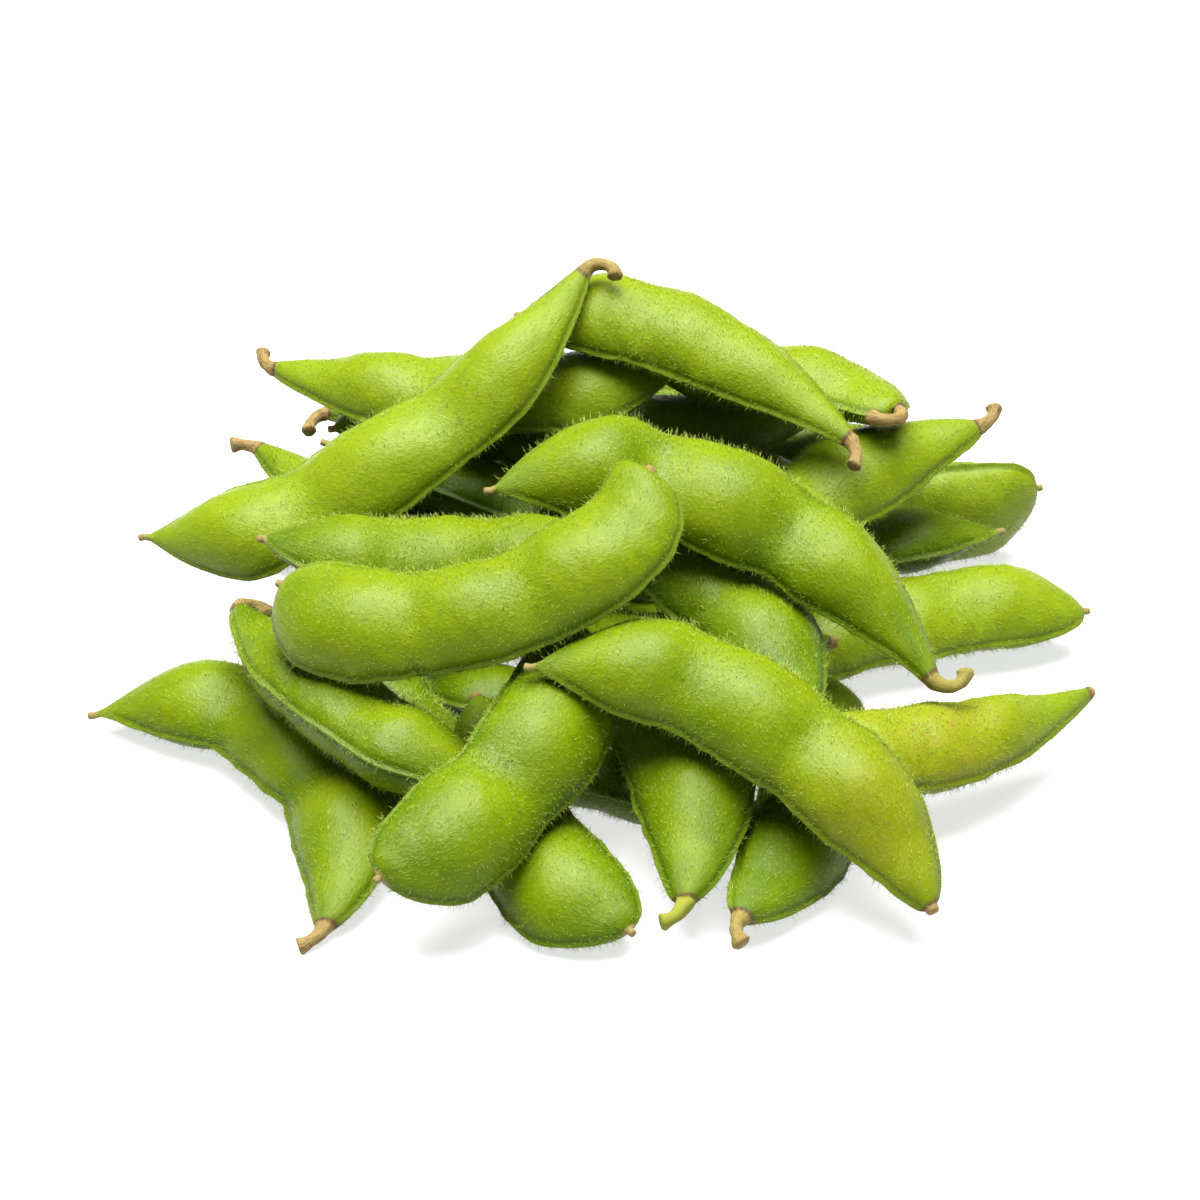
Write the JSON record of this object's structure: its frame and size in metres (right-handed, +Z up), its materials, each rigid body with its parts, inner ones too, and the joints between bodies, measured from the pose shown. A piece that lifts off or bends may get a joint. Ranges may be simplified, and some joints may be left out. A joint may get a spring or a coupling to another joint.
{
  "type": "edamame pod bundle",
  "caption": "Loose heap of fresh green edamame pods, curved and downy with bean bumps, raised seams and short curled stems, piled flat side down.",
  "frame": {"origin": "middle of the heap's footprint, on the surface it lies on", "axes": "+Z up, -Y the front of the heap, +X to its right"},
  "size_m": [0.136, 0.1338, 0.0495],
  "materials": {
    "pod_skin": "satin, finely haired fresh green pod skin with dry tan stems and seams"
  },
  "bodies": {
    "root": {"pod_back_curl": "pod_skin", "pod_back_left": "pod_skin", "pod_back_low": "pod_skin", "pod_back_right": "pod_skin", "pod_back_stem": "pod_skin", "pod_base_back": "pod_skin", "pod_base_front": "pod_skin", "pod_base_left": "pod_skin", "pod_base_middle": "pod_skin", "pod_base_right": "pod_skin", "pod_dark_front": "pod_skin", "pod_dark_left": "pod_skin", "pod_fill_c": "pod_skin", "pod_fill_d": "pod_skin", "pod_fill_g": "pod_skin", "pod_front_big": "pod_skin", "pod_front_lean": "pod_skin", "pod_front_rise": "pod_skin", "pod_front_steep": "pod_skin", "pod_front_tip": "pod_skin", "pod_gap_front": "pod_skin", "pod_gap_side": "pod_skin", "pod_left_bent": "pod_skin", "pod_left_hook": "pod_skin", "pod_left_stem": "pod_skin", "pod_left_under": "pod_skin", "pod_right_blunt": "pod_skin", "pod_right_flat": "pod_skin", "pod_right_low": "pod_skin", "pod_right_thin": "pod_skin", "pod_right_up": "pod_skin", "pod_top_arch": "pod_skin", "pod_top_back": "pod_skin", "pod_top_cup": "pod_skin", "pod_top_long": "pod_skin", "pod_top_right": "pod_skin", "pod_under_right": "pod_skin"}
  },
  "joints": []
}
